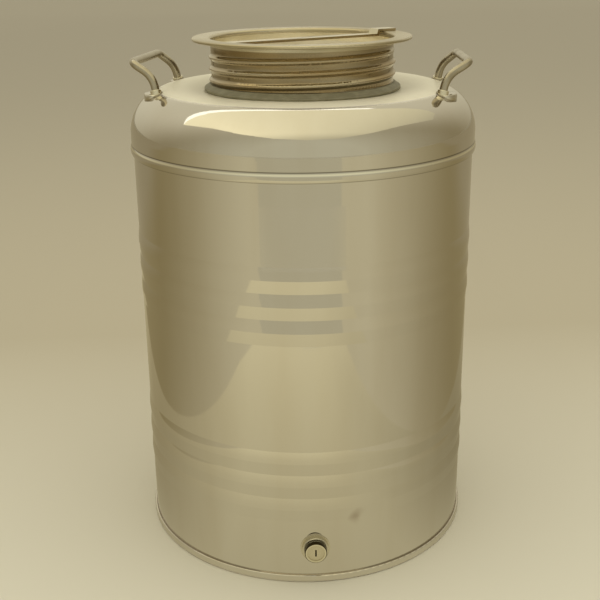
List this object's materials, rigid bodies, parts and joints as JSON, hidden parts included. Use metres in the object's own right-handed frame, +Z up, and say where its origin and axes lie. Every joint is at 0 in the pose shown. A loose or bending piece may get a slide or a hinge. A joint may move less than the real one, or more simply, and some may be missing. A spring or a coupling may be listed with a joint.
{
  "type": "stainless steel drum with screw lid",
  "caption": "Round steel drum with a screw lid over a wide neck, two fixed bail handles and a screwed drain plug at the foot.",
  "frame": {"origin": "centre of the foot circle, on the floor that the drum stands on", "axes": "+Z up along the drum's axis, -Y towards the drain, +X towards the right handle as seen from the drain"},
  "size_m": [0.3764, 0.3847, 0.5588],
  "materials": {
    "polished_steel": "polished sheet with a faint drawn grain",
    "rolled_steel": "bright rolled sheet",
    "bright_bar": "polished bar",
    "turned_steel": "turned",
    "grey_rubber": "matt"
  },
  "bodies": {
    "drum": {"body_shell": "polished_steel", "bottom_pan": "polished_steel", "base_chime": "polished_steel", "shoulder_dome": "polished_steel", "neck_collar": "rolled_steel", "neck_seal": "grey_rubber", "right_handle": "bright_bar", "left_handle": "bright_bar", "right_front_collar": "bright_bar", "right_rear_collar": "bright_bar", "left_front_collar": "bright_bar", "left_rear_collar": "bright_bar", "outlet_socket": "turned_steel"},
    "lid_seal": {"lid_gasket": "grey_rubber"},
    "lid": {"lid_skirt": "rolled_steel", "lid_rim": "rolled_steel", "lid_disc": "rolled_steel", "lid_grip": "rolled_steel"},
    "plug_seal": {"plug_washer": "grey_rubber"},
    "plug": {"drain_plug": "turned_steel"}
  },
  "joints": [
    {"name": "lid_turn", "type": "hinge", "parent": "lid_seal", "child": "lid", "pos_m": [0, 0, 0.53], "axis": [0, 0, 1], "range_deg": [0, 600]},
    {"name": "lid_lift", "type": "slide", "parent": "drum", "child": "lid_seal", "axis": [0, 0, 1], "range_m": [0, 0.02]},
    {"name": "plug_turn", "type": "hinge", "parent": "plug_seal", "child": "plug", "pos_m": [0, -0.19, 0.042], "axis": [0, -1, 0], "range_deg": [0, 2160]},
    {"name": "plug_out", "type": "slide", "parent": "drum", "child": "plug_seal", "axis": [0, -1, 0], "range_m": [0, 0.01088]}
  ],
  "couplings": [
    {"joint": "lid_lift", "follows": "lid_turn", "m_per_rad": 0.0019099},
    {"joint": "plug_turn", "follows": "plug_out", "rad_per_m": 3463.7}
  ]
}
